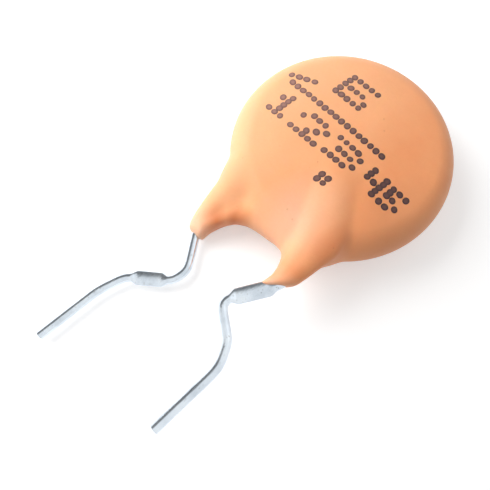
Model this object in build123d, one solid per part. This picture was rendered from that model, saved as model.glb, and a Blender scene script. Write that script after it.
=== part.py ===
from build123d import *
import math
import os

# Leaded ceramic disc capacitor, lying on its back with the marked face up.
# It is built about the centre of the disc, halfway through its thickness, with the
# leads running towards -Y and the front face towards +Z. At the end it is set down
# on its back, with the origin at the middle of the area that it covers.
# All sizes are in millimetres.

# Coated disc
disc_diameter = 15.0
crown_thickness = 4.1
rim_radius = 1.75

# Ceramic and the silver films on its two faces
ceramic_diameter = 13.2
ceramic_thickness = 2.2
film_margin = 0.5
film_thickness = 0.05

# Solder under and over the inner end of each wire
solder_length = 3.6
solder_height = 0.76
solder_gap = 0.06

# Lead wires
wire_diameter = 0.6
pressed_width = 1.0
press_taper = 0.5
leg_pitch = 6.95
wire_end_x = 0.9
wire_end_drop = 1.4
shoulder_rise = 1.2
shoulder_bend = 1.5

# Resin over and beside the wires where it ends
tip_cover = 0.22
tip_wall = 0.2
tip_reach = 0.3

disc_radius = disc_diameter / 2
wire_radius = wire_diameter / 2
film_diameter = ceramic_diameter - 2 * film_margin
film_face = ceramic_thickness / 2 + film_thickness
wire_height = film_face + solder_gap + wire_radius
pressed_thickness = wire_diameter**2 / pressed_width


class Lead:
    """One formed wire: side is -1 for left or 1 for right, face is -1 for back or 1 for front.

    form lists the bends below the coating as (inwards, down) from the leg's end, and
    tip_turn is how many degrees the end of the resin is turned to face outwards.
    """

    def __init__(self, side, face, leg_length, tip_turn, form, bends, pressed_run):
        self.side = side
        self.face = face
        self.leg_length = leg_length
        self.tip_turn = tip_turn
        self.exit_y = -disc_radius - leg_length
        self.height = face * wire_height
        leg_x = leg_pitch / 2
        corners = [(wire_end_x, -wire_end_drop), (leg_x, shoulder_rise - disc_radius), (leg_x, self.exit_y)]
        corners += [(leg_x - inwards, self.exit_y - down) for inwards, down in form]
        self.route = [Vector(side * x, y, self.height) for x, y in corners]
        self.bends = [shoulder_bend] + bends
        self.pressed_run = pressed_run

    def x_at(self, y):
        """Place across the disc of the wire's axis, above the leg's end."""
        end, shoulder = self.route[0], self.route[1]
        share = min((end.Y - y) / (end.Y - shoulder.Y), 1)
        return end.X + share * (shoulder.X - end.X)


left = Lead(
    side=-1,
    face=-1,
    leg_length=2.9,
    tip_turn=3,
    form=[(1.62, 2.4), (1.42, 3.55), (-1.03, 5.6), (-1.63, 7.5), (-2.03, 12.0)],
    bends=[0.8, 0.9, 0.8, 1.2, 3.0],
    pressed_run=4,
)
right = Lead(
    side=1,
    face=1,
    leg_length=2.2,
    tip_turn=37,
    form=[(1.86, 3.05), (-0.08, 4.4), (-0.73, 5.7), (-0.53, 10.4)],
    bends=[0.8, 0.5, 0.8, 2.0],
    pressed_run=2,
)

# Sections of each leg of resin. The station is 0 at the wire's inner end, 1 level with
# the rim and 2 at the leg's end. The reaches outwards and inwards are in wire radii, the
# cover over the wire is in mm, and the depth is a share of twice the wire's height.
left_leg = [
    (0.05, 2.0, 2.0, 0.08, 0.3),
    (0.24, 3.0, 3.0, 0.2, 0.48),
    (0.44, 4.1, 4.1, 0.32, 0.66),
    (0.75, 5.8, 5.7, 0.34, 0.9),
    (1.03, 4.5, 5.0, 0.33, 0.62),
    (1.45, 3.8, 4.4, 0.3, 0.44),
    (1.79, 3.1, 3.2, 0.26, 0.26),
]
right_leg = [
    (0.05, 2.0, 2.0, 0.08, 0.3),
    (0.24, 3.0, 3.0, 0.2, 0.48),
    (0.44, 4.1, 4.1, 0.32, 0.66),
    (0.75, 5.5, 5.5, 0.34, 0.9),
    (1.0, 3.5, 4.7, 0.33, 0.62),
    (1.4, 2.6, 3.8, 0.3, 0.35),
]

# Sections of the web between the legs, from left to right. Across is a share of half the
# leg pitch, the rise and the half depth are shares of the rim's radius, the drop is a
# share of that leg's length, and the height is a share of the wire's height.
web = [
    (-0.85, 0.06, 0.69, -0.63, 0.34),
    (-0.63, 0.34, 0.53, -0.4, 0.42),
    (-0.4, 0.57, 0.29, -0.22, 0.47),
    (-0.09, 0.8, 0.14, -0.05, 0.51),
    (0.29, 0.8, 0.12, 0.15, 0.5),
    (0.55, 0.57, 0.2, 0.33, 0.44),
    (0.69, 0.34, 0.43, 0.46, 0.4),
    (0.85, 0.06, 0.77, 0.63, 0.34),
]


def section_across(point, heading, half_width, half_depth):
    """Ellipse square to a heading in the plane of the disc, wide in that plane."""
    plane = Plane(origin=point, x_dir=Vector(-heading.Y, heading.X, 0), z_dir=heading)
    return plane * Ellipse(half_width, half_depth)


def disc_body():
    """Dipped disc: two shallow crowns that run tangent into a round rim."""
    half = crown_thickness / 2
    rim_centre = disc_radius - rim_radius
    crown_radius = (rim_centre**2 / (half - rim_radius) + half + rim_radius) / 2
    lean = math.degrees(math.atan2(rim_centre, crown_radius - half))
    front = CenterArc((0, half - crown_radius), crown_radius, 90 - lean, lean)
    rim = CenterArc((rim_centre, 0), rim_radius, lean - 90, 180 - 2 * lean)
    back = CenterArc((0, crown_radius - half), crown_radius, -90, lean)
    axis_line = Line((0, half), (0, -half))
    return revolve(Plane.XZ * make_face([front, rim, back, axis_line]), Axis.Z)


def formed_wire(lead):
    """Round wire bent along its route, pressed to a flat oval along one straight run."""
    runs = FilletPolyline(*lead.route, radius=lead.bends).edges()
    first = 2 * lead.pressed_run
    pressed = runs[first]
    start, end, heading = pressed @ 0, pressed @ 1, pressed % 0.5
    flat_start = start + heading * press_taper
    flat_end = end - heading * press_taper
    oval = (pressed_width / 2, pressed_thickness / 2)
    pieces = [
        sweep(Plane(runs[0] @ 0, z_dir=runs[0] % 0) * Circle(wire_radius), path=Wire(runs[:first])),
        loft([section_across(start, heading, wire_radius, wire_radius), section_across(flat_start, heading, *oval)]),
        extrude(section_across(flat_start, heading, *oval), (flat_end - flat_start).length, heading),
        loft([section_across(flat_end, heading, *oval), section_across(end, heading, wire_radius, wire_radius)]),
        sweep(Plane(end, z_dir=heading) * Circle(wire_radius), path=Wire(runs[first + 1 :])),
    ]
    return pieces[0].fuse(*pieces[1:])


def solder_joint(lead, wire):
    """Mound of solder on the film: half a capsule drawn out along the end of the wire."""
    end, shoulder = lead.route[0], lead.route[1]
    along = (shoulder - end).normalized()
    middle = Vector(end.X, end.Y, lead.face * film_face) + along * (solder_length / 4)
    barrel = solder_length / 2 - solder_height
    outline = make_face([
        CenterArc((barrel, 0), solder_height, 0, 90),
        Line((barrel, solder_height), (-barrel, solder_height)),
        CenterArc((-barrel, 0), solder_height, 90, 90),
        Line((-solder_length / 2, 0), (solder_length / 2, 0)),
    ])
    on_film = Plane(origin=middle, x_dir=along, z_dir=(0, 0, lead.face))
    return revolve(on_film * outline, Axis(middle, along), 180) - wire


def leg(lead, rows):
    """Leg of resin round one wire, lofted from its ridge on the disc down to its tip."""
    end, _, exit_point, next_bend = lead.route[:4]
    down = Vector(0, -1, 0)
    sections = []
    for station, outwards, inwards, cover, depth in rows:
        y = end.Y + min(station, 1) * (-disc_radius - end.Y) - max(station - 1, 0) * lead.leg_length
        over = wire_radius + cover
        below = depth * 2 * wire_height
        x = lead.x_at(y) + lead.side * (outwards - inwards) / 2 * wire_radius
        z = lead.height + lead.face * (over - below) / 2
        half_width = (outwards + inwards) / 2 * wire_radius
        sections.append(section_across(Vector(x, y, z), down, half_width, (over + below) / 2))
    heading = (next_bend - exit_point).normalized()
    facing = down.rotate(Axis.Z, lead.side * lead.tip_turn)
    half_width = wire_radius / heading.dot(facing) + tip_wall
    sections.append(section_across(exit_point + heading * tip_reach, facing, half_width, wire_radius + tip_cover))
    return loft(sections)


def web_body():
    """Skin of resin that hangs between the two legs and gives the arch its round top."""
    sections = []
    for across, rise, drop, height, half_depth in web:
        low = (left if across < 0 else right).leg_length * drop
        high = rim_radius * rise
        centre = (across * leg_pitch / 2, (high - low) / 2 - disc_radius, height * wire_height)
        plane = Plane(centre, x_dir=(0, 1, 0), z_dir=(1, 0, 0))
        sections.append(plane * Ellipse((high + low) / 2, half_depth * rim_radius))
    return loft(sections)


ceramic = Cylinder(ceramic_diameter / 2, ceramic_thickness)
film = Cylinder(film_diameter / 2, film_thickness)
film_middle = (ceramic_thickness + film_thickness) / 2
left_wire = formed_wire(left)
right_wire = formed_wire(right)
inner = {
    "ceramic_disc": ceramic,
    "front_electrode": Pos(0, 0, film_middle) * film,
    "back_electrode": Pos(0, 0, -film_middle) * film,
    "front_solder_joint": solder_joint(right, right_wire),
    "back_solder_joint": solder_joint(left, left_wire),
    "left_lead": left_wire,
    "right_lead": right_wire,
}
coating = disc_body() + leg(left, left_leg) + leg(right, right_leg) + web_body()
for piece in inner.values():
    coating -= piece
pieces = dict(inner, resin_coating=coating)

# Set down on its back, centred on the area that it covers
extent = Compound(list(pieces.values())).bounding_box()
set_down = Pos(-extent.center().X, -extent.center().Y, -extent.min.Z)

os.makedirs("parts", exist_ok=True)
for name, piece in pieces.items():
    export_step(set_down * piece, f"parts/{name}.step")
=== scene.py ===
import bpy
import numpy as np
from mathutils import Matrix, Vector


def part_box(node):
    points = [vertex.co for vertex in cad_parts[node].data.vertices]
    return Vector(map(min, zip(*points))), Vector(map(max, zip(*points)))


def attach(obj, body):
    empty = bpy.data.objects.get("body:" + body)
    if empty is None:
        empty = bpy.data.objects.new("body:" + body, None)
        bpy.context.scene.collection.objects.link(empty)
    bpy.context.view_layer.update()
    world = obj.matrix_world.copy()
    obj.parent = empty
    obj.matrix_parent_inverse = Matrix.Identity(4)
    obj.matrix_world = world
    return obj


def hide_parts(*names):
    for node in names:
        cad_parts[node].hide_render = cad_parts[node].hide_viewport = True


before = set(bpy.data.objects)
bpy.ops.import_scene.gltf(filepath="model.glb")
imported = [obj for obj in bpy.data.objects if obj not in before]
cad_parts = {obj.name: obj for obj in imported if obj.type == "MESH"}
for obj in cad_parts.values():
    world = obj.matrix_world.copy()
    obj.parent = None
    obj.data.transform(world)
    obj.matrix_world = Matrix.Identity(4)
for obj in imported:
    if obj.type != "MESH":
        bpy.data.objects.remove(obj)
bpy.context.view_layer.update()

# %% [markdown]
# A leaded ceramic disc capacitor, lying on its back with the marked face up. The
# packed CAD model is the frame: it fixes the size and the place of every piece. This
# file makes the dipped resin skin, the two formed wires and the printed ink, and gives
# every piece its finish, down to the ceramic in the middle.

MM_PER_METRE = 1000

# %% [markdown]
# Shapes are worked out in millimetres about the centre of the ceramic disc, where the
# numbers are easy to read: x to the right, y away from the leads and z out of the
# marked face. One helper turns such points into a mesh in the frame. It leaves the
# object itself at the origin, unturned and unscaled, so that a pattern on the object's
# own coordinates stays where it was put.

# %% Points in millimetres become a piece
disc_low, disc_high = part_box("ceramic_disc")
CENTRE = np.array([0.0, disc_low[1] + disc_high[1], disc_low[2] + disc_high[2]]) * (MM_PER_METRE / 2)


def add_piece(name, points, faces, material, slot):
    """A smooth piece from points in mm about the disc's centre, riding on the root body."""
    mesh = bpy.data.meshes.new(name)
    mesh.from_pydata((points + CENTRE) / MM_PER_METRE, [], faces)
    mesh.update()
    mesh.polygons.foreach_set("use_smooth", np.ones(len(mesh.polygons), dtype=bool))
    mesh.materials.append(material)
    piece = bpy.data.objects.new(name, mesh)
    bpy.context.scene.collection.objects.link(piece)
    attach(piece, "root")
    print(f"{name}: {len(points)} points, {len(mesh.polygons)} faces")
    return piece


print("centre of the disc in mm:", CENTRE.round(4))

# %% [markdown]
# Nothing on a dipped part stays straight for long. The reach of a leg, the line of a
# wire under the resin and the edge of the arch are each given as a few rows of
# numbers. Straight lines from row to row would leave corners in the skin, so a bell
# curve is run over them, which rounds each corner.

# %% Curves through rows of numbers
CURVE_POINTS = 1200
CURVE_MARGIN = 3.0


def smooth_rows(rows, blur=0.45):
    """A function that gives the values of rows (place, values...) at any place.

    Straight lines join the rows, and the mean under a bell curve, as wide as the blur
    in mm, takes their place. Past the first and the last row the values stay the same.
    """
    rows = np.array(sorted(rows))
    place = np.linspace(rows[0, 0] - CURVE_MARGIN, rows[-1, 0] + CURVE_MARGIN, CURVE_POINTS)
    off = np.arange(-3 * blur, 3 * blur, place[1] - place[0])
    bell = np.exp(-((off / blur) ** 2) / 2)
    curves = []
    for values in rows[:, 1:].T:
        lines = np.pad(np.interp(place, rows[:, 0], values), len(bell), mode="edge")
        curves.append(np.convolve(lines, bell / bell.sum(), mode="same")[len(bell):-len(bell)])
    return lambda at: [np.interp(at, place, curve) for curve in curves]


print("a corner of height 1, rounded:", smooth_rows([(-1, 0), (0, 1), (1, 0)])(0.0)[0].round(3))

# %% [markdown]
# The skin is resin that the finished disc was dipped in, so its surface tension rounds
# every edge and fills every corner. Tubes and a disc could be joined with a boolean and
# then smoothed, but a crease would stay where they meet. Here each form is a field, a
# distance that is below zero inside it, and a soft minimum lets two forms run together
# as wet resin does. The first form is the disc.

# %% Field of the dipped disc
DISC_RADIUS = 7.5
HALF_THICK = 2.05
RIM_RADIUS = 1.75
CROWN_REACH = DISC_RADIUS - RIM_RADIUS
CROWN_RADIUS = (CROWN_REACH**2 / (HALF_THICK - RIM_RADIUS) + HALF_THICK + RIM_RADIUS) / 2


def soft_least(a, b, reach):
    """The smaller of a and b, with the corner between them filled.

    The nearer they are to each other within the reach, the larger the share that is
    squared, and a quarter of the reach times that square is taken off.
    """
    share = np.clip(reach - np.abs(a - b), 0, None) / reach
    return np.minimum(a, b) - share * share * reach / 4


def disc_field(x, y, z):
    """Distance from the dipped disc.

    Over each face it is the distance from the centre of a large ball, less its radius.
    Past the crown's edge it is the distance from a ring, less the radius of the rim.
    """
    r, height = np.hypot(x, y), np.abs(z) + CROWN_RADIUS - HALF_THICK
    crown = np.hypot(r, height) - CROWN_RADIUS
    rim = np.hypot(r - CROWN_REACH, z) - RIM_RADIUS
    return np.where(r * (CROWN_RADIUS - HALF_THICK) < CROWN_REACH * height, crown, rim)


print(f"radius of each crown: {CROWN_RADIUS:.1f} mm")

# %% [markdown]
# The resin runs down each wire and leaves a leg round it, with a low ridge on the disc
# above. The left wire is soldered to the back and the right one to the front, so the
# legs lie on opposite faces. The routes of the wires, seen from the front, give each
# leg its axis. The rows say how far the resin stands out from that axis.

# %% Routes of the wires and sizes of the legs
WIRE_HEIGHT = 1.51
LEFT_ROUTE = [(-0.9, -1.4), (-3.475, -6.3), (-3.475, -10.4), (-1.855, -12.8), (-2.055, -13.95),
              (-4.505, -16.0), (-5.105, -17.9), (-5.505, -22.4)]
RIGHT_ROUTE = [(0.9, -1.4), (3.475, -6.3), (3.475, -9.7), (1.615, -12.75), (3.555, -14.1),
               (4.205, -15.4), (4.005, -20.1)]
# rows of (y, reach outwards, reach inwards, height over the axis, depth below it)
LEFT_ROWS = [
    (-11.4, 0.7, 0.5, 0.45, 0.45), (-10.7, 0.78, 0.58, 0.5, 0.55), (-10.2, 0.86, 0.66, 0.53, 0.75),
    (-9.5, 1.0, 0.84, 0.56, 1.1), (-8.4, 1.2, 1.12, 0.56, 1.7), (-6.9, 1.36, 1.4, 0.56, 2.5),
    (-5.6, 1.3, 1.3, 0.49, 2.7), (-4.1, 1.0, 1.0, 0.46, 2.0), (-1.7, 0.7, 0.7, 0.27, 1.2),
    (-0.2, 0.5, 0.5, 0.05, 0.8),
]
RIGHT_ROWS = [
    (-10.9, 0.4, 0.46, 0.42, 0.42), (-10.2, 0.5, 0.62, 0.48, 0.5), (-9.6, 0.58, 0.68, 0.52, 0.6),
    (-9.1, 0.66, 0.72, 0.55, 0.8), (-8.5, 0.78, 0.82, 0.56, 1.15), (-7.9, 0.88, 0.92, 0.57, 1.5),
    (-7.1, 1.0, 1.1, 0.57, 2.0), (-5.8, 1.15, 1.2, 0.5, 2.2), (-4.1, 1.0, 1.0, 0.46, 2.0),
    (-1.7, 0.7, 0.7, 0.27, 1.2), (-0.2, 0.5, 0.5, 0.05, 0.8),
]
# a point of each tip and the way that the tip faces, seen from the front
LEFT_TIP = ((-3.45, -10.72), (0.05, -0.999))
RIGHT_TIP = ((3.3, -9.9), (0.606, -0.795))
print("rows of the left and right leg:", len(LEFT_ROWS), len(RIGHT_ROWS))

# %% [markdown]
# Round its axis a leg is an oval with four half axes of its own. A plane cuts the oval
# off at the tip, and a softer cut ends the ridge on the disc. Both cuts use the soft
# minimum on fields whose signs are turned round, which makes it a soft maximum.

# %% Field of a leg
LEG_TOP_Y = -0.6
TIP_ROUNDING = 0.35
TOP_ROUNDING = 1.2
AXIS_BLUR = 0.5
ABOVE_ZERO = 1e-6


def axis_in_resin(route):
    """How far the wire's axis is from the middle line at each y, down to just below the resin."""
    inner = [(0, abs(route[0][0]))]
    return smooth_rows(inner + [(y, abs(x)) for x, y in route[:4]], AXIS_BLUR)


def leg_field(x, y, z, side, axis, reaches, tip, facing):
    """Distance from one leg, to within a little.

    A place is measured in shares of the oval's half axes. That share less one, over the
    rate at which the share grows, is a length. The tip's plane and the top cut it off.
    """
    out, inn, over, depth = reaches(y)
    across = side * x - axis(y)[0]
    above = side * z - WIRE_HEIGHT
    a = np.where(across > 0, out, inn)
    b = np.where(above > 0, over, depth)
    share = np.hypot(across / a, above / b) + ABOVE_ZERO
    growth = np.hypot(across / a**2, above / b**2) + ABOVE_ZERO
    oval = share * (share - 1) / growth
    past_tip = (x - tip[0]) * facing[0] + (y - tip[1]) * facing[1]
    return -soft_least(soft_least(-oval, -past_tip, TIP_ROUNDING), LEG_TOP_Y - y, TOP_ROUNDING)


LEFT_LEG = (-1, axis_in_resin(LEFT_ROUTE), smooth_rows(LEFT_ROWS), *LEFT_TIP)
RIGHT_LEG = (1, axis_in_resin(RIGHT_ROUTE), smooth_rows(RIGHT_ROWS), *RIGHT_TIP)
print("field on the left wire at y -8:", leg_field(-3.475, -8.0, -WIRE_HEIGHT, *LEFT_LEG).round(3))

# %% [markdown]
# A web of resin hangs between the two legs and gives the arch its round top. It leans
# from the back wire to the front one, and is thickest left of the middle. It is a plate
# with a round edge: one set of rows draws the arch's edge, another gives the height of
# the plate's middle and half of its thickness.

# %% Field of the web
WEB_TOP_Y = -6.0
WEB_HALF_WIDTH = 3.0
SLOPE_STEP = 0.01
# rows of (x, y): lower edge of the web
arch_edge = smooth_rows([
    (-3.1, -10.3), (-2.71, -9.75), (-2.55, -9.45), (-2.2, -8.98), (-1.63, -8.46), (-0.93, -8.07),
    (-0.22, -7.88), (0.6, -7.8), (1.28, -7.76), (1.87, -7.9), (2.3, -8.22), (2.56, -8.75),
    (2.75, -9.3), (3.1, -9.9),
], 0.12)
# rows of (x, height of the middle, half of the thickness)
web_form = smooth_rows([
    (-3.0, -0.92, 0.58), (-2.5, -0.68, 0.77), (-2.0, -0.45, 0.95), (-1.2, -0.2, 1.04),
    (0.0, 0.0, 0.92), (1.0, 0.23, 0.85), (2.0, 0.54, 0.74), (3.0, 0.98, 0.57),
], 0.25)


def web_field(x, y, z):
    """Distance from the web.

    The plate's outline is drawn in by half of its thickness. How far a place is beyond
    that line, and how far from the plate's middle height, are the sides of a right angle.
    Half of the thickness is then taken off the distance across it.
    """
    middle, half = web_form(x)
    slope = (arch_edge(x + SLOPE_STEP)[0] - arch_edge(x - SLOPE_STEP)[0]) / (2 * SLOPE_STEP)
    below = (arch_edge(x)[0] - y) / np.hypot(1, slope) + half
    beside = np.abs(x) - WEB_HALF_WIDTH + half
    above = y - WEB_TOP_Y
    beyond = np.sqrt(sum(np.maximum(side, 0) ** 2 for side in (below, beside, above)))
    return np.hypot(beyond, z - middle) - half


print("top of the arch at y:", arch_edge(np.linspace(-3, 3, 61))[0].max().round(2))

# %% [markdown]
# The four forms are joined by the soft minimum, and its reach says how much resin
# gathers in a corner. More of it gathers at the two shoulders, where a leg leaves the
# rim, and on the arch side of the left leg, so a bell-shaped amount is added there.

# %% Field of the whole skin
WEB_FILL = 0.8
LEG_FILL = 0.9
SHOULDER_FILL, SHOULDER_PLACE, SHOULDER_REACH = 0.9, (4.9, -6.2), (1.3, 1.5)
INNER_FILL, INNER_PLACE, INNER_REACH = 0.6, (-2.7, -7.7), (0.9, 0.9)


def heap(x, y, place, reach):
    """1 at a place, falling as a bell curve: e to minus the sum of the squared shares of the reach."""
    return np.exp(-((x - place[0]) / reach[0]) ** 2 - ((y - place[1]) / reach[1]) ** 2)


def resin_field(p):
    """Field of the skin at points p: the soft minimum of disc, web, left leg and right leg."""
    x, y, z = p.T
    at_shoulder = LEG_FILL + SHOULDER_FILL * heap(np.abs(x), y, SHOULDER_PLACE, SHOULDER_REACH)
    at_left = at_shoulder + INNER_FILL * heap(x, y, INNER_PLACE, INNER_REACH)
    body = soft_least(disc_field(x, y, z), web_field(x, y, z), WEB_FILL)
    body = soft_least(body, leg_field(x, y, z, *LEFT_LEG), at_left)
    return soft_least(body, leg_field(x, y, z, *RIGHT_LEG), at_shoulder)


print("field at the middle of the disc:", resin_field(np.zeros((1, 3))).round(3))

# %% [markdown]
# A surface with two parameters would have to fold where the arch meets the legs, so
# the skin is drawn from its field. Points near it can be moved onto it: the field says
# how far off a point is, and the slope of the field says which way to go. A few such
# steps are enough. The skin uses them here, and so does the ink later on.

# %% Points drawn onto the skin
PULL_TURNS = 5
LEAST_MOVE = 1e-9
DROP_TURNS = 20
DROP_MOST = 0.3
LEAST_SLOPE = 0.2


def gradient(p, step=1e-3):
    """Slope of the field at points p: the change over a small step each way, along each axis."""
    slopes = []
    for axis in np.eye(3) * step:
        slopes.append((resin_field(p + axis) - resin_field(p - axis)) / (2 * step))
    return np.stack(slopes, axis=1)


def onto_resin(p, most):
    """Moves points p against the slope by the field over the squared slope, each step at most that long."""
    for _ in range(PULL_TURNS):
        slope = gradient(p)
        move = (resin_field(p) / (slope**2).sum(axis=1))[:, None] * slope
        length = np.linalg.norm(move, axis=1, keepdims=True)
        p = p - move * np.minimum(1, most / (length + LEAST_MOVE))
    return p


def onto_front(p):
    """Moves points p straight up or down onto the marked face, by the field over its upward slope."""
    up = np.array([0, 0, 1.0])
    for _ in range(DROP_TURNS):
        slope = np.maximum(gradient(p)[:, 2], LEAST_SLOPE)
        p = p - up * np.clip(resin_field(p) / slope, -DROP_MOST, DROP_MOST)[:, None]
    return p


print("height of the face over the centre:", onto_front(np.array([[0.0, 0.0, 2.2]]))[0, 2].round(3))

# %% [markdown]
# Space is cut into small cubes. An edge of this lattice crosses the surface where the
# field changes its sign from one end to the other. Each cube with such an edge gets
# one point, at the mean of the crossings on its twelve edges.

# %% One point in each cube
LATTICE_STEP = 0.1
LATTICE_LOW, LATTICE_HIGH = (-7.9, -11.6, -2.5), (7.9, 7.9, 2.5)


def along_axis(values, axis, start, stop):
    """A slice of an array along one axis."""
    cut = [slice(None)] * 3
    cut[axis] = slice(start, stop)
    return values[tuple(cut)]


def crossing_points(value):
    """Mean place of the crossings in each cube, and which cubes have any.

    On an edge, the crossing is at the near value over the near value less the far one.
    """
    cubes = tuple(n - 1 for n in value.shape)
    total, count = np.zeros(cubes + (3,)), np.zeros(cubes)
    for axis in range(3):
        one, two = [other for other in range(3) if other != axis]
        for shift in ((0, 0), (0, 1), (1, 0), (1, 1)):
            cut = value
            for other, offset in zip((one, two), shift):
                cut = along_axis(cut, other, offset, cut.shape[other] - 1 + offset)
            near, far = along_axis(cut, axis, 0, -1), along_axis(cut, axis, 1, None)
            crossed = (near < 0) != (far < 0)
            place = np.zeros(cubes + (3,))
            place[..., axis] = near / np.where(crossed, near - far, 1)
            place[..., one], place[..., two] = shift
            total += place * crossed[..., None]
            count += crossed
    return total / np.maximum(count, 1)[..., None], count > 0


print("step of the lattice in mm:", LATTICE_STEP)

# %% [markdown]
# Every edge of the lattice that crosses the surface belongs to four cubes, and their
# four points are one face, turned so that it faces out of the resin. The points are
# then drawn onto the skin, which leaves it smooth and closed.

# %% Faces of the skin
def skin_net():
    """Points of the cubes that the surface passes through, and the four-sided faces between them."""
    axes = [np.arange(low, high, LATTICE_STEP) for low, high in zip(LATTICE_LOW, LATTICE_HIGH)]
    lattice = np.stack(np.meshgrid(*axes, indexing="ij"), axis=-1)
    value = resin_field(lattice.reshape(-1, 3)).reshape(lattice.shape[:3])
    place, used = crossing_points(value)
    number = np.full(used.shape, -1)
    number[used] = np.arange(used.sum())
    points = np.argwhere(used) + place[used]
    points = onto_resin(points * LATTICE_STEP + np.array(LATTICE_LOW), LATTICE_STEP / 2)
    faces = []
    for axis in range(3):
        one, two = (axis + 1) % 3, (axis + 2) % 3
        near, far = along_axis(value, axis, 0, -1) < 0, along_axis(value, axis, 1, None) < 0
        edge = np.argwhere(near != far)
        step_one, step_two = np.eye(3, dtype=int)[[one, two]]
        ring = [edge - step_one - step_two, edge - step_two, edge, edge - step_one]
        quads = np.stack([number[tuple(cell.T)] for cell in ring], axis=1)
        outward = near[tuple(edge.T)]
        faces.append(np.where(outward[:, None], quads, quads[:, ::-1]))
    return points, np.concatenate(faces)


skin_points, skin_faces = skin_net()
print("largest field left on the skin:", np.abs(resin_field(skin_points)).max().round(6))

# %% [markdown]
# Every finish is a small network of nodes. Made by hand in the shader editor it would
# be a tangle of boxes, so a helper adds one node in one line and links its inputs. The
# same helper serves the light of the room, which is a network of nodes as well.

# %% Adding nodes
class Nodes:
    """A tree of nodes, with helpers that add linked ones."""

    def __init__(self, tree):
        self.tree = tree

    def put(self, socket, value):
        """Links an output to a socket, or sets the socket's own value."""
        if isinstance(value, bpy.types.NodeSocket):
            self.tree.links.new(value, socket)
        else:
            socket.default_value = value

    def add(self, kind, **settings):
        """A node. Settings that start with a capital are its inputs, the rest its properties."""
        node = self.tree.nodes.new(kind)
        for key, value in settings.items():
            if not key[0].isupper():
                setattr(node, key, value)
        for key, value in settings.items():
            if key[0].isupper():
                self.put(node.inputs[key.replace("_", " ")], value)
        return node

    def math(self, operation, a, b, clamp=False):
        """One sum on two values."""
        node = self.add("ShaderNodeMath", operation=operation, use_clamp=clamp)
        self.put(node.inputs[0], a)
        self.put(node.inputs[1], b)
        return node.outputs[0]

    def vector(self, operation, a, b=(0, 0, 0)):
        """One sum on two vectors, as a node with a vector and a value to take from."""
        node = self.add("ShaderNodeVectorMath", operation=operation, Vector=a)
        self.put(node.inputs[1], b)
        return node

    def spread(self, value, low, high, start=0.0, end=1.0):
        """A value that runs from start to end, stretched between low and high."""
        ends = {"From_Min": start, "From_Max": end, "To_Min": low, "To_Max": high}
        return self.add("ShaderNodeMapRange", Value=value, **ends).outputs["Result"]


print("helpers for nodes:", ", ".join(name for name in vars(Nodes) if name[0] != "_"))

# %% [markdown]
# A finish reads the object's own coordinates, turned into millimetres, so a pattern
# keeps its size and stays on the piece. The patterns are clouds of noise, a value that
# runs along an axis, and one that fades out from a spot. Ramps and mixes give them
# colour, and bumps let the light see what is too fine for the mesh.

# %% Patterns, colours and bumps
class Finish(Nodes):
    """A material whose patterns are in mm on the object's own coordinates."""

    def __init__(self, name):
        self.material = bpy.data.materials.new(name)
        self.material.use_nodes = True
        super().__init__(self.material.node_tree)
        self.shader = self.tree.nodes["Principled BSDF"]
        place = self.add("ShaderNodeTexCoord").outputs["Object"]
        in_mm = self.add("ShaderNodeVectorMath", operation="SCALE", Vector=place, Scale=float(MM_PER_METRE))
        self.mm = in_mm.outputs["Vector"]

    def noise(self, scale, detail, stretch=(1, 1, 1)):
        """Cloudy noise with that many features to a millimetre."""
        place = self.vector("MULTIPLY", self.mm, stretch).outputs["Vector"]
        return self.add("ShaderNodeTexNoise", Vector=place, Scale=scale, Detail=detail).outputs["Fac"]

    def along(self, axis, ends, values):
        """A value that runs between two others from one place in mm to another along an axis."""
        parts = self.add("ShaderNodeSeparateXYZ", Vector=self.mm)
        return self.spread(parts.outputs[axis], *values, *ends)

    def spot(self, middle, reach, most):
        """A value that falls evenly from its most at a place in mm to 0 at the edge of an oval round it."""
        off = self.vector("SUBTRACT", self.mm, middle).outputs["Vector"]
        far = self.vector("LENGTH", self.vector("DIVIDE", off, reach).outputs["Vector"]).outputs["Value"]
        return self.math("MULTIPLY", self.math("SUBTRACT", 1.0, far, clamp=True), most)

    def ramp(self, value, stops):
        """Colours along a value, as (place, colour) stops."""
        node = self.add("ShaderNodeValToRGB", Fac=value)
        ends = node.color_ramp.elements
        while len(ends) < len(stops):
            ends.new(0.5)
        for end, (place, colour) in zip(ends, stops):
            end.position = place
            end.color = (*colour, 1)
        return node.outputs["Color"]

    def mix(self, share, a, b):
        """Two colours mixed by a share of the second."""
        node = self.add("ShaderNodeMix", data_type="RGBA")
        for socket, value in ((0, share), (6, a), (7, b)):
            self.put(node.inputs[socket], (*value, 1) if isinstance(value, tuple) else value)
        return node.outputs[2]

    def bump(self, height, strength, distance_mm, normal=None):
        """A bump of that height; one may stand on another."""
        distance = distance_mm / MM_PER_METRE
        node = self.add("ShaderNodeBump", Height=height, Strength=strength, Distance=distance)
        if normal is not None:
            self.put(node.inputs["Normal"], normal)
        return node.outputs["Normal"]

    def wear(self, **inputs):
        """Sets or links the shader's own inputs."""
        for key, value in inputs.items():
            self.put(self.shader.inputs[key.replace("_", " ")], value)
        return self.material


BLACK, WHITE = (0, 0, 0), (1, 1, 1)
print("helpers for finishes:", ", ".join(name for name in vars(Finish) if name[0] != "_"))
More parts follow.
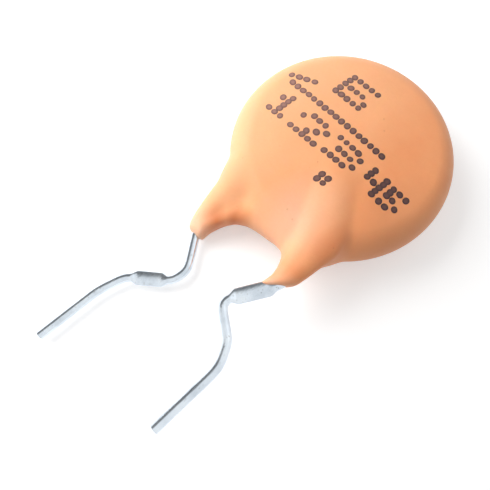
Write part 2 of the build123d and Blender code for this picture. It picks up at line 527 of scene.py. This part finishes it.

# %% [markdown]
# The resin is an orange dip, satin rather than glossy. Its pigment is unevenly mixed,
# so one wide cloud shifts the orange, and the tips are paler. Painted light makes the
# left of the disc and the web paler, and painted shade makes the right of the disc
# deeper, and deeper still beside the left leg's arch and right of the right lead's
# ridge. An image could carry this, but a network of nodes keeps its detail close up.

# %% Colour of the resin
# colours of the cloud, and the paler and deeper ones that are mixed in: pale tips and flecks, painted light
# and painted shade
ORANGE = [(0.3, (0.86, 0.32, 0.125)), (0.5, (0.89, 0.35, 0.14)), (0.7, (0.92, 0.385, 0.16))]
# colours of the painted light on the left, of the paler tips, and of the painted light over the web
PAINTED_LIGHT_LEFT, PALE_TIP, PAINTED_LIGHT_WEB = (0.97, 0.59, 0.34), (0.92, 0.58, 0.41), (0.97, 0.6, 0.42)
# colours of the painted shade on the right side, of the painted shade beside the arch and the right ridge,
# and of the flecks
PAINTED_SHADE_RIGHT, PAINTED_SHADE_DEEP, GRAIN = (0.6, 0.24, 0.1), (0.66, 0.19, 0.06), (0.7, 0.24, 0.08)
# spots in mm in the frame: (middle, reach along each axis, share of the colour at the middle)
# painted light where the web and the left side of the right lead's ridge face the lamp
WEB_LIGHT_SPOT = ((1.3, 1.1, 3.5), (2.8, 4.4, 6.0), 0.7)
# painted shade over the right of the disc, the side turned from the lamp
SIDE_SHADE_SPOT = ((5.8, 5.2, 3.5), (2.6, 4.0, 6.0), 0.55)
# painted shade on the arch side of the left leg, where light from the left does not reach
LEFT_LEG_SHADE_SPOT, ARCH_SHADE_SPOT = ((-2.6, -1.75, 2.2), (1.3, 1.3, 4.0), 1.0), ((-1.7, -0.95, 2.4), (1.3, 1.3, 4.0), 1.0)
# painted shade on the flank right of the right lead's ridge
RIGHT_RIDGE_SHADE_SPOT = ((4.0, 1.4, 3.0), (1.1, 1.9, 5.0), 0.5)
# where the painted light on the left and the pale tips start and end in mm, and the shares of the colour
# there
LEFT_LIGHT_FADE = ((3.5, -5.5), (0.0, 0.58))
TIP_FADE = ((-1.2, -2.6), (0.0, 1.0))
# noises, as features to a millimetre and detail, and how far they let a colour through
CLOUD, PATCHES, FLECKS = (0.33, 5.0), (1.1, 3.0), (5.5, 4.0)
PATCH_SHARES, FLECK_SHARES = (0.2, 0.9), (0.0, 0.16)


def resin_colour(f):
    """The cloud's orange, mixed in turn with pale tips, painted light, painted shade and flecks, each by a
    share of its own.
    """
    colour = f.ramp(f.noise(*CLOUD), ORANGE)
    # painted light: paler towards the left, as the near lamp lights that side
    colour = f.mix(f.along("X", *LEFT_LIGHT_FADE), colour, PAINTED_LIGHT_LEFT)
    patches = f.spread(f.noise(*PATCHES), *PATCH_SHARES)
    colour = f.mix(f.math("MULTIPLY", f.along("Y", *TIP_FADE), patches), colour, PALE_TIP)
    # painted light over the web and the lit side of the right ridge
    colour = f.mix(f.spot(*WEB_LIGHT_SPOT), colour, PAINTED_LIGHT_WEB)
    # painted shade over the right of the disc
    colour = f.mix(f.spot(*SIDE_SHADE_SPOT), colour, PAINTED_SHADE_RIGHT)
    # painted shade beside the left leg's arch and right of the right ridge
    painted_shade = f.math("MAXIMUM", f.spot(*LEFT_LEG_SHADE_SPOT), f.spot(*ARCH_SHADE_SPOT))
    colour = f.mix(f.math("MAXIMUM", painted_shade, f.spot(*RIGHT_RIDGE_SHADE_SPOT)), colour, PAINTED_SHADE_DEEP)
    return f.mix(f.spread(f.noise(*FLECKS), *FLECK_SHARES), colour, GRAIN)


print("colours of the resin:", len(ORANGE), "in the cloud and six mixed in")

# %% [markdown]
# As it dries, a dip keeps slow waves, a fine peel like an orange's, and a few pin
# holes where air came out. The waves and the peel are bumps that stand on each other,
# from the widest to the finest. A little light goes into the resin and comes out
# redder, which is what the subsurface values are for.

# %% Skin of resin
# features to a millimetre, detail, strength and height in mm of the waves, peel and fine peel
RELIEF = [(0.5, 1.0, 0.5, 0.12), (3.2, 3.0, 0.5, 0.02), (11.0, 2.0, 0.35, 0.006)]
HOLE_COLOUR = (0.45, 0.14, 0.05)
HOLES_TO_MM = 0.9
HOLE_RAMP = [(0.0, WHITE), (0.035, WHITE), (0.06, BLACK)]
HOLE_SHARE, HOLE_STRENGTH, HOLE_DEPTH = 0.2, 0.6, 0.03
# features to a millimetre and detail of the noise in the sheen
HANDLING = (1.6, 3.0)
RESIN_ROUGHNESS = (0.42, 0.58)


def resin_finish():
    """Orange dipped resin with waves, peel, pin holes, cloudy pigment, and painted light and shade."""
    f = Finish("orange_resin")
    cells = f.add("ShaderNodeTexVoronoi", Vector=f.mm, Scale=HOLES_TO_MM, Randomness=1.0)
    hole = f.ramp(cells.outputs["Distance"], HOLE_RAMP)
    colour = f.mix(f.math("MULTIPLY", hole, HOLE_SHARE), resin_colour(f), HOLE_COLOUR)
    normal = None
    for scale, detail, strength, height in RELIEF:
        normal = f.bump(f.noise(scale, detail), strength, height, normal)
    normal = f.bump(f.math("SUBTRACT", 1.0, hole), HOLE_STRENGTH, HOLE_DEPTH, normal)
    f.wear(Base_Color=colour, Roughness=f.spread(f.noise(*HANDLING), *RESIN_ROUGHNESS), Normal=normal)
    f.wear(Subsurface_Weight=0.2, Subsurface_Radius=(1.0, 0.4, 0.15), Subsurface_Scale=0.0007)
    return f.wear(Coat_Weight=0.1, Coat_Roughness=0.35)


skin = add_piece("resin_skin", skin_points, skin_faces.tolist(), resin_finish(), "resin")
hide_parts("resin_coating")

# %% [markdown]
# A lead is drawn copper-clad wire with a coat of tin, bent over pins. A curve object
# with a round bevel would do for the bends, but not for the pressed run, so the path
# is worked out first. Each corner of the route becomes an arc that touches both runs,
# and then the line relaxes a little, as wire springs back on both sides of a bend.

# %% Path of a wire
LEFT_BENDS = [1.5, 0.8, 0.9, 0.8, 1.2, 3.0]
RIGHT_BENDS = [1.5, 0.8, 0.5, 0.8, 2.0]
PATH_STEP = 0.05
ARC_POINTS = 24
RELAX_TURNS = 60
RELAX_SHARE = 0.25


def rounded(route, bends):
    """Even points along a route with rounded corners, their lengths, and the lengths at each run's ends.

    An arc starts before its corner by its radius times the tangent of half the turn.
    """
    route = [np.array(p, float) for p in route]
    pieces, marks, length = [route[0][None, :]], [], 0.0
    start = route[0]
    for corner, after, bend in zip(route[1:-1], route[2:], bends):
        u = (corner - start) / np.linalg.norm(corner - start)
        w = (after - corner) / np.linalg.norm(after - corner)
        turn = np.arccos(np.clip(u @ w, -1, 1))
        cut = bend * np.tan(turn / 2)
        first = corner - u * cut
        marks.append((length, length + np.linalg.norm(first - start)))
        length = marks[-1][1] + bend * turn
        side = np.array((-u[1], u[0])) * np.sign(u[0] * w[1] - u[1] * w[0])
        angles = np.linspace(0, turn, ARC_POINTS)[:, None]
        pieces.append(first + bend * (np.sin(angles) * u + (1 - np.cos(angles)) * side))
        start = corner + w * cut
    marks.append((length, length + np.linalg.norm(route[-1] - start)))
    pieces.append(route[-1][None, :])
    line = np.concatenate(pieces)
    far = np.concatenate([[0], np.cumsum(np.linalg.norm(np.diff(line, axis=0), axis=1))])
    even = np.linspace(0, far[-1], int(far[-1] / PATH_STEP))
    line = np.stack([np.interp(even, far, c) for c in line.T], axis=1)
    return line, even, marks


def relaxed(line):
    """The line with each inner point moved halfway to its neighbours' middle, many times over."""
    for _ in range(RELAX_TURNS):
        line[1:-1] += RELAX_SHARE * (line[2:] - 2 * line[1:-1] + line[:-2])
    return line


print(f"length of the left wire: {rounded(LEFT_ROUTE, LEFT_BENDS)[1][-1]:.1f} mm")

# %% [markdown]
# Each wire is pinched once between two dies, which spreads it into a flat oval of the
# same area. So the section is an oval all the way, carried along the path, and its two
# half axes ease from round to flat and back. The cut ends are closed with one face.

# %% Wire as a surface
WIRE_RADIUS = 0.3
PRESSED_HALF_WIDTH = 0.5
PRESSED_HALF_THICKNESS = 0.18
PRESS_TAPER = 0.5
AROUND_WIRE = 40


def formed_wire(route, bends, height, pressed_run):
    """Points and faces of one wire.

    Round each point of the path, a point stands aside by the half width times the cosine
    of the angle, and up by the half thickness times its sine.
    """
    line, even, marks = rounded(route, bends)
    line = relaxed(line)
    ahead = np.gradient(line, axis=0)
    ahead /= np.linalg.norm(ahead, axis=1, keepdims=True)
    aside = np.stack([-ahead[:, 1], ahead[:, 0]], axis=1)
    start, end = marks[pressed_run]
    flat = np.clip(np.minimum(even - start, end - even) / PRESS_TAPER, 0, 1)
    flat = (flat * flat * (3 - 2 * flat))[:, None]
    wide = WIRE_RADIUS + flat * (PRESSED_HALF_WIDTH - WIRE_RADIUS)
    deep = WIRE_RADIUS + flat * (PRESSED_HALF_THICKNESS - WIRE_RADIUS)
    angle = np.linspace(0, 2 * np.pi, AROUND_WIRE, endpoint=False)[None, :]
    plan = line[:, None, :] + (wide * np.cos(angle))[..., None] * aside[:, None, :]
    tall = height + deep * np.sin(angle)
    points = np.concatenate([plan, tall[..., None]], axis=2).reshape(-1, 3)
    here = np.arange(AROUND_WIRE)
    there = np.roll(here, -1)
    ring = np.arange(len(line) - 1)[:, None] * AROUND_WIRE
    after = ring + AROUND_WIRE
    quads = np.stack([ring + here, after + here, after + there, ring + there], axis=2)
    first_end, last_end = here.tolist(), (here + (len(line) - 1) * AROUND_WIRE)[::-1].tolist()
    return points, quads.reshape(-1, 4).tolist() + [first_end, last_end]


print("section of a wire:", 2 * WIRE_RADIUS, "mm round,", 2 * PRESSED_HALF_WIDTH, "mm wide where pressed")

# %% [markdown]
# Tin is bright, but a hot dip leaves it far from a mirror: fine lines run along it from
# the drawing die, a bloom makes patches duller, and small specks of dirt sit in it. The
# noise for the lines is squeezed across the wire and drawn out along it.

# %% Finish of the wires
TIN = [(0.3, (0.6, 0.67, 0.74)), (0.55, (0.73, 0.8, 0.87)), (0.8, (0.82, 0.88, 0.92))]
SPECK_RAMP = [(0.66, BLACK), (0.74, WHITE)]
SPECK_COLOUR = (0.2, 0.19, 0.18)
SPECK_SHARE = 0.5
# features to a millimetre and detail, and for the lines how far they are squeezed along each axis
LINES, BLOOM, SPECKS = (3.0, 4.0, (6, 0.5, 6)), (0.9, 3.0), (7.0, 2.0)
# strength of each bump and its height in mm
LINES_RELIEF, BLOOM_RELIEF = (0.4, 0.01), (0.3, 0.05)
TIN_ROUGHNESS = (0.14, 0.34)
LEFT_PRESSED_RUN, RIGHT_PRESSED_RUN = 4, 2


def wire_finish():
    """Tinned wire: bright, with lines along it from the die, a dull bloom and small dark specks."""
    f = Finish("tinned_wire")
    lines, bloom = f.noise(*LINES), f.noise(*BLOOM)
    specks = f.math("MULTIPLY", f.ramp(f.noise(*SPECKS), SPECK_RAMP), SPECK_SHARE)
    colour = f.mix(specks, f.ramp(bloom, TIN), SPECK_COLOUR)
    normal = f.bump(bloom, *BLOOM_RELIEF, f.bump(lines, *LINES_RELIEF))
    return f.wear(Base_Color=colour, Metallic=1.0, Roughness=f.spread(lines, *TIN_ROUGHNESS), Normal=normal)


tin = wire_finish()
left_mesh = formed_wire(LEFT_ROUTE, LEFT_BENDS, -WIRE_HEIGHT, LEFT_PRESSED_RUN)
right_mesh = formed_wire(RIGHT_ROUTE, RIGHT_BENDS, WIRE_HEIGHT, RIGHT_PRESSED_RUN)
left_wire = add_piece("left_wire", *left_mesh, tin, "tinned_wire")
right_wire = add_piece("right_wire", *right_mesh, tin, "tinned_wire")
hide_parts("left_lead")
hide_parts("right_lead")

# %% [markdown]
# The marking is jet-printed in round dots on a grid that leans a little, as the part
# moved past the nozzles: digits, a line of dots, a short slanted row and a block of
# four. The numbers are plain ones. Each digit is drawn as five rows of signs, which is
# easier to read and change than a list of places.

# %% Places of the dots
DIGITS = {
    "1": ("..#..", ".##..", "..#..", "..#..", ".###."),
    "2": (".###.", "#...#", "...#.", "..#..", "#####"),
    "3": ("####.", "....#", ".###.", "....#", "####."),
    "4": ("#.#", "#.#", "###", "..#", "..#"),
    "5": ("###", "#..", "##.", "..#", "##."),
    "6": ("#####", "#....", "####.", "#...#", "#####"),
}
# digit, column of its left side, row of its foot and the step between its rows
PRINTED = [("6", 4.5, 4.0, 1.03), ("1", -0.2, -5.6, 0.92), ("2", 4.9, -5.6, 0.9), ("3", 10.7, -5.2, 0.83),
           ("4", 17.0, -5.3, 0.8), ("5", 20.4, -5.3, 0.75)]
DIGIT_COLUMN = 1.04
LINE_DOTS, LINE_STEP, LINE_START = 17, 1.02, (-0.3, 0.35)
SLANT_DOTS, SLANT_RISE, SLANT_START = 4, 0.5, (-1.4, 1.35)
BLOCK_SIDE, BLOCK_START = 2, (13.2, -9.3)


def printed_places():
    """Column and row of every dot, with rows counted upwards from just below the line of dots."""
    places = [(LINE_START[0] + LINE_STEP * i, LINE_START[1]) for i in range(LINE_DOTS)]
    for digit, left, foot, step in PRINTED:
        for up, row in enumerate(reversed(DIGITS[digit])):
            marks = [i for i, mark in enumerate(row) if mark == "#"]
            places += [(left + i * DIGIT_COLUMN, foot + up * step) for i in marks]
    places += [(SLANT_START[0] + i, SLANT_START[1] + SLANT_RISE * i) for i in range(SLANT_DOTS)]
    places += [(BLOCK_START[0] + i, BLOCK_START[1] + j) for i in range(BLOCK_SIDE) for j in range(BLOCK_SIDE)]
    return np.array(places)


print("dots in the marking:", len(printed_places()))

# %% [markdown]
# A dot is a drop of ink that dried to a thin lens. It could be painted in the resin's
# own colour, but then it would have no edge and no gloss of its own, so each one is a
# small closed mesh. A flat grid of rings is drawn onto the skin, then raised in the
# middle for the top and sunk a little for the underside.

# %% Outlines of the dots on the skin
PRINT_START = np.array((-5.28, 0.71))
COLUMN, ROW, LEAN = 0.479, 0.416, 0.109
PRINT_TURN = np.radians(-1.8)
DOT_RADIUS = 0.225
AROUND_DOT, DOT_RINGS = 20, 4
ABOVE_FACE = 2.2
STRAY, SIZE_SPREAD, UNEVEN = 0.012, 0.05, 0.05
SEED = 7
# the largest angle in radians that a dot's waver starts at
WAVER_START_MOST = 6


def dots_on_skin():
    """Points of every dot on the skin: a middle, then rings whose radius wavers twice on the way round."""
    places = printed_places()
    draw = np.random.default_rng(SEED)
    plane = np.stack([places[:, 0] * COLUMN + places[:, 1] * ROW * LEAN, places[:, 1] * ROW], axis=1)
    cosine, sine = np.cos(PRINT_TURN), np.sin(PRINT_TURN)
    turned = plane @ np.array([[cosine, -sine], [sine, cosine]]).T
    centres = PRINT_START + turned + draw.normal(0, STRAY, plane.shape)
    size = DOT_RADIUS * (1 + draw.normal(0, SIZE_SPREAD, len(centres)))
    angle = np.linspace(0, 2 * np.pi, AROUND_DOT, endpoint=False)
    share = np.arange(1, DOT_RINGS + 1) / DOT_RINGS
    start = draw.uniform(0, WAVER_START_MOST, (len(centres), 1))
    waver = 1 + UNEVEN * np.sin(2 * angle[None, :] + start)
    reach = size[:, None, None] * share[None, :, None] * waver[:, None, :]
    x = centres[:, 0, None, None] + reach * np.cos(angle)
    y = centres[:, 1, None, None] + reach * np.sin(angle)
    rings = np.stack([x, y, np.full_like(x, ABOVE_FACE)], axis=3).reshape(len(centres), -1, 3)
    middle = np.concatenate([centres, np.full((len(centres), 1), ABOVE_FACE)], axis=1)[:, None, :]
    points = np.concatenate([middle, rings], axis=1)
    return onto_front(points.reshape(-1, 3)).reshape(points.shape)


dot_tops = dots_on_skin()
print("dots and points in each:", dot_tops.shape[:2])

# %% [markdown]
# The top and the underside have the same points, so one table of faces serves all the
# dots: a fan round the middle, bands from ring to ring and a wall at the edge. Each
# point also keeps its share of the way from the middle to the edge, for the finish.

# %% Lenses of ink
LENS_HEIGHT = 0.009
LENS_RAISE = 0.004
LENS_SINK = 0.006


def ink_lenses(on_skin):
    """Points, faces and edge shares of all dots: the height falls with the share's fourth power."""
    count, each = on_skin.shape[:2]
    share = np.concatenate([[0.0], np.repeat(np.arange(1, DOT_RINGS + 1) / DOT_RINGS, AROUND_DOT)])
    top, under = on_skin.copy(), on_skin.copy()
    top[..., 2] += LENS_RAISE + (1 - share**4) * LENS_HEIGHT
    under[..., 2] -= LENS_SINK
    base = np.arange(count)[:, None, None] * 2 * each
    here, there = np.arange(AROUND_DOT), np.roll(np.arange(AROUND_DOT), -1)
    fan = np.stack([np.zeros_like(here), 1 + here, 1 + there], axis=1)
    ring = 1 + (np.arange(DOT_RINGS - 1) * AROUND_DOT)[:, None]
    outer = ring + AROUND_DOT
    band = np.stack([ring + here, outer + here, outer + there, ring + there], axis=2).reshape(-1, 4)
    edge = 1 + (DOT_RINGS - 1) * AROUND_DOT
    wall = np.stack([edge + here, each + edge + here, each + edge + there, edge + there], axis=1)
    fans = np.concatenate([base + fan, base + each + fan[:, ::-1]], axis=1).reshape(-1, 3)
    quads = np.concatenate([base + band, base + each + band[:, ::-1], base + wall], axis=1).reshape(-1, 4)
    points = np.stack([top, under], axis=1).reshape(-1, 3)
    return points, fans.tolist() + quads.tolist(), np.tile(share, 2 * count)


lens_points, lens_faces, edge_share = ink_lenses(dot_tops)
print(f"height of a dot over the skin: {LENS_RAISE + LENS_HEIGHT:.3f} mm")

# %% [markdown]
# Dark brown ink dries darker towards the edge of a dot, where the drop's liquid went
# last. Towards the left of the disc the ink is painted paler, a painted sheen of the
# near lamp, so two ramps, one for the ink and one for the ink under that painted
# sheen, are mixed along the disc.

# %% Ink marking
PLAIN_INK = [(0.0, (0.1, 0.042, 0.034)), (0.55, (0.075, 0.03, 0.027)), (0.9, (0.035, 0.016, 0.016))]
# colours of the ink under a painted sheen of the near lamp, and where in mm that sheen fades in along x
SHEENED_INK = [(0.0, (0.38, 0.2, 0.16)), (0.55, (0.3, 0.155, 0.125)), (0.9, (0.18, 0.095, 0.085))]
INK_SHEEN_FADE = ((3.0, -5.0), (0.0, 1.0))
# noises, as features to a millimetre and detail
INK_PATCHES, INK_GRAIN = (3.0, 3.0), (9.0, 3.0)
# strength of the bump and its height in mm
INK_RELIEF = (0.3, 0.01)
EDGE_SHIFT = 0.15
INK_ROUGHNESS = (0.45, 0.65)


def ink_finish():
    """Dark brown ink, thin in the middle of each dot and darker at its edge, and painted paler towards the
    left as a painted sheen.
    """
    f = Finish("printed_ink")
    share = f.add("ShaderNodeAttribute", attribute_name="edge_share").outputs["Fac"]
    patch = f.noise(*INK_PATCHES)
    across = f.math("ADD", share, f.spread(patch, -EDGE_SHIFT, EDGE_SHIFT))
    # painted sheen: the paler ramp takes over towards the left
    colour = f.mix(f.along("X", *INK_SHEEN_FADE), f.ramp(across, PLAIN_INK), f.ramp(across, SHEENED_INK))
    normal = f.bump(f.noise(*INK_GRAIN), *INK_RELIEF)
    return f.wear(Base_Color=colour, Roughness=f.spread(patch, *INK_ROUGHNESS), Normal=normal)


ink = add_piece("printed_dots", lens_points, lens_faces, ink_finish(), "resin")
shade = ink.data.attributes.new("edge_share", "FLOAT", "POINT")
shade.data.foreach_set("value", edge_share.astype(np.float32))

# %% [markdown]
# What the skin hides is in the CAD as it should be, so those nodes keep their meshes
# and only get a finish. The fired ceramic is buff and matt, with faint mottling and
# fine dark pores, which a threshold on fine noise gives.

# %% Fired ceramic
CERAMIC = [(0.3, (0.36, 0.25, 0.16)), (0.7, (0.5, 0.37, 0.25))]
PORE_RAMP = [(0.62, BLACK), (0.7, WHITE)]
PORE_COLOUR = (0.15, 0.1, 0.07)
PORE_SHARE = 0.5
# noises, as features to a millimetre and detail
MOTTLE, PORES, GRAINS = (0.8, 4.0), (9.0, 2.0), (12.0, 3.0)
# strength of the bump and its height in mm
GRAIN_RELIEF = (0.4, 0.02)
CERAMIC_ROUGHNESS = (0.65, 0.85)


def dress(material, *names):
    """Gives CAD nodes a finish, leaving their meshes and places alone."""
    for name in names:
        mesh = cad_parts[name].data
        mesh.materials.clear()
        mesh.materials.append(material)
    print("finished:", ", ".join(names))


def ceramic_finish():
    """Fired ceramic: buff, matt, with fine pores and faint mottling."""
    f = Finish("fired_ceramic")
    mottle = f.noise(*MOTTLE)
    pores = f.math("MULTIPLY", f.ramp(f.noise(*PORES), PORE_RAMP), PORE_SHARE)
    colour = f.mix(pores, f.ramp(mottle, CERAMIC), PORE_COLOUR)
    normal = f.bump(f.noise(*GRAINS), *GRAIN_RELIEF)
    return f.wear(Base_Color=colour, Roughness=f.spread(mottle, *CERAMIC_ROUGHNESS), Normal=normal)


dress(ceramic_finish(), "ceramic_disc")

# %% [markdown]
# The electrodes are silver paste that was printed through a screen and fired. The
# weave of the screen stays in it: two sets of waves, one along x and one along y,
# multiplied. The solder over them is bright where it flowed and frosted where it froze.

# %% Silver films and solder
SILVER = [(0.3, (0.6, 0.6, 0.58)), (0.7, (0.74, 0.74, 0.72))]
SOLDER = [(0.35, (0.5, 0.5, 0.5)), (0.65, (0.68, 0.68, 0.67))]
THREADS, WANDER = 2.2, 0.4
# noises, as features to a millimetre and detail
TARNISH, FROST, RIPPLES = (1.2, 3.0), (1.8, 4.0), (4.0, 3.0)
# strength of each bump and its height in mm
WEAVE_RELIEF, RIPPLE_RELIEF = (0.25, 0.01), (0.3, 0.03)
SILVER_ROUGHNESS, SOLDER_ROUGHNESS = (0.4, 0.55), (0.22, 0.5)


def film_finish():
    """Printed silver film: pale, soft, with the mesh of the screen left in it."""
    f = Finish("silver_film")
    threads = []
    for way in "XY":
        wave = f.add("ShaderNodeTexWave", bands_direction=way, Vector=f.mm, Scale=THREADS, Distortion=WANDER)
        threads.append(wave.outputs["Fac"])
    weave = f.math("MULTIPLY", *threads)
    colour = f.ramp(f.noise(*TARNISH), SILVER)
    normal = f.bump(weave, *WEAVE_RELIEF)
    roughness = f.spread(weave, *SILVER_ROUGHNESS)
    return f.wear(Base_Color=colour, Metallic=0.9, Roughness=roughness, Normal=normal)


def solder_finish():
    """Solder: bright where it flowed, grey and frosted where it froze last."""
    f = Finish("solder")
    frost = f.noise(*FROST)
    normal = f.bump(f.noise(*RIPPLES), *RIPPLE_RELIEF)
    roughness = f.spread(frost, *SOLDER_ROUGHNESS)
    return f.wear(Base_Color=f.ramp(frost, SOLDER), Metallic=1.0, Roughness=roughness, Normal=normal)


dress(film_finish(), "front_electrode", "back_electrode")
dress(solder_finish(), "front_solder_joint", "back_solder_joint")

# %% [markdown]
# The part lies on a white bench. More light would make a grey floor white, but it would
# bleach the resin too, so the paper of the bench glows a little where it is looked at,
# straight or in the metal, and gives no light of its own. The shadow stays on it.

# %% White bench
BENCH_SIZE = 2.0
BENCH_GREYS = [(0.3, (0.79, 0.79, 0.79)), (0.7, (0.82, 0.82, 0.82))]
BENCH_GLOW = 0.4
# features to a millimetre and detail of the noise in the grey
HAZE = (0.02, 2.0)


def when_seen(nodes, sight, otherwise):
    """One value for what is looked at, straight or through gloss or glass, and another for its light."""
    paths = nodes.add("ShaderNodeLightPath")
    seen = paths.outputs["Is Camera Ray"]
    for way in ("Is Glossy Ray", "Is Transmission Ray"):
        seen = nodes.math("MAXIMUM", seen, paths.outputs[way])
    return nodes.spread(seen, otherwise, sight)


def bench():
    """A wide square floor under the part."""
    f = Finish("white_bench")
    f.wear(Base_Color=f.ramp(f.noise(*HAZE), BENCH_GREYS), Roughness=0.8)
    f.wear(Emission_Color=(1, 1, 1, 1), Emission_Strength=when_seen(f, BENCH_GLOW, 0.0))
    mesh = bpy.data.meshes.new("bench")
    corners = np.array([(-1, -1, 0), (1, -1, 0), (1, 1, 0), (-1, 1, 0)]) * BENCH_SIZE
    mesh.from_pydata(corners, [], [(0, 1, 2, 3)])
    mesh.materials.append(f.material)
    floor = bpy.data.objects.new("bench", mesh)
    bpy.context.scene.collection.objects.link(floor)
    print("bench:", 2 * BENCH_SIZE, "m square")


bench()

# %% [markdown]
# One soft lamp stands close at the left and makes that side pale and the right side
# deep, as in the photograph. A large weak one far behind fills the shadows. The near
# lamp would be a hard white patch in the wires, so it is kept out of their reflections.

# %% Lamps
# each lamp's place, the point that it is turned to, the side of its square and its power
KEY_LAMP = ((-0.045, -0.006, 0.034), (0, 0.006, 0.001), 0.05, 0.043)
FILL_LAMP = ((0.1, 0.25, 0.3), (0, 0, 0), 0.3, 0.05)


def lamp(name, place, aim, size, power):
    """A square soft lamp at a place, turned towards a point."""
    data = bpy.data.lights.new(name, "AREA")
    data.size, data.energy = size, power
    light = bpy.data.objects.new(name, data)
    place, aim = np.array(place, float), np.array(aim, float)
    away = (place - aim) / np.linalg.norm(place - aim)
    side = np.cross((0, 0, 1.0), away)
    side /= np.linalg.norm(side)
    turn = np.stack([side, np.cross(away, side), away], axis=1)
    light.matrix_world = Matrix.Translation(place.tolist()) @ Matrix(turn.tolist()).to_4x4()
    bpy.context.scene.collection.objects.link(light)
    print(f"{name} lamp: {power} W at {np.linalg.norm(place - aim):.3f} m")
    return light


key = lamp("key", *KEY_LAMP)
key.visible_glossy = False
lamp("fill", *FILL_LAMP)

# %% [markdown]
# The room gives even light from all round, and the camera sees it white. Metal shows
# only what is round it, so in an all-white room it looks flat. To reflections the room
# therefore has one dark side, and the wires get the dark lines that real ones have.

# %% Light of the room
ROOM_LIGHT = 0.46
DARK_SIDE = (-0.857, 0.101, 0.505)
DARK_EDGE, DARK_MIDDLE = 0.75, 0.86
DARK_LEVEL = 0.22


def room_light():
    """Even light, white to the camera, and in gloss darker by the cosine from the dark side's middle."""
    world = bpy.data.worlds.new("room")
    bpy.context.scene.world = world
    world.use_nodes = True
    nodes = Nodes(world.node_tree)
    way = nodes.add("ShaderNodeTexCoord").outputs["Generated"]
    towards = nodes.vector("DOT_PRODUCT", way, DARK_SIDE).outputs["Value"]
    mirrored = nodes.spread(towards, 1.0, DARK_LEVEL, DARK_EDGE, DARK_MIDDLE)
    looked_at = nodes.add("ShaderNodeLightPath").outputs["Is Camera Ray"]
    sight = nodes.math("MAXIMUM", mirrored, looked_at)
    shade = world.node_tree.nodes["Background"]
    nodes.put(shade.inputs["Strength"], when_seen(nodes, sight, ROOM_LIGHT))
    shade.inputs["Color"].default_value = (1, 1, 1, 1)
    print("light of the room:", ROOM_LIGHT)


room_light()

# %% [markdown]
# The camera stands where the photograph was taken from: close, nearly overhead, and
# turned so that the leads run to the lower left. Its place and its three directions
# were worked out from points of the object. As such directions are never quite square
# to each other, the matrix is taken apart and its stretch left out, which keeps the
# nearest true turn.

# %% Camera
PICTURE_PIXELS = 490
FOCAL_PIXELS = 399.6
SENSOR_MM = 36
NEAREST, FARTHEST = 0.001, 10
CAMERA_PLACE = (5.064, -13.893, 24.665)
CAMERA_RIGHT = (0.710, 0.704, -0.011)
CAMERA_DOWN = (0.675, -0.685, -0.273)
CAMERA_AHEAD = (-0.200, 0.186, -0.962)


def camera():
    """The camera, with its place in mm about the disc's centre turned into metres in the frame."""
    data = bpy.data.cameras.new("camera")
    data.lens, data.sensor_width = SENSOR_MM * FOCAL_PIXELS / PICTURE_PIXELS, SENSOR_MM
    data.clip_start, data.clip_end = NEAREST, FARTHEST
    eye = bpy.data.objects.new("camera", data)
    turn = np.stack([CAMERA_RIGHT, -np.array(CAMERA_DOWN), -np.array(CAMERA_AHEAD)], axis=1)
    u, _, v = np.linalg.svd(turn)
    place = (np.array(CAMERA_PLACE) + CENTRE) / MM_PER_METRE
    eye.matrix_world = Matrix.Translation(place.tolist()) @ Matrix((u @ v).tolist()).to_4x4()
    bpy.context.scene.collection.objects.link(eye)
    bpy.context.scene.camera = eye
    print(f"lens: {data.lens:.1f} mm on a {SENSOR_MM} mm sensor")


camera()
bpy.context.scene.view_settings.view_transform = "Standard"

# %% [markdown]
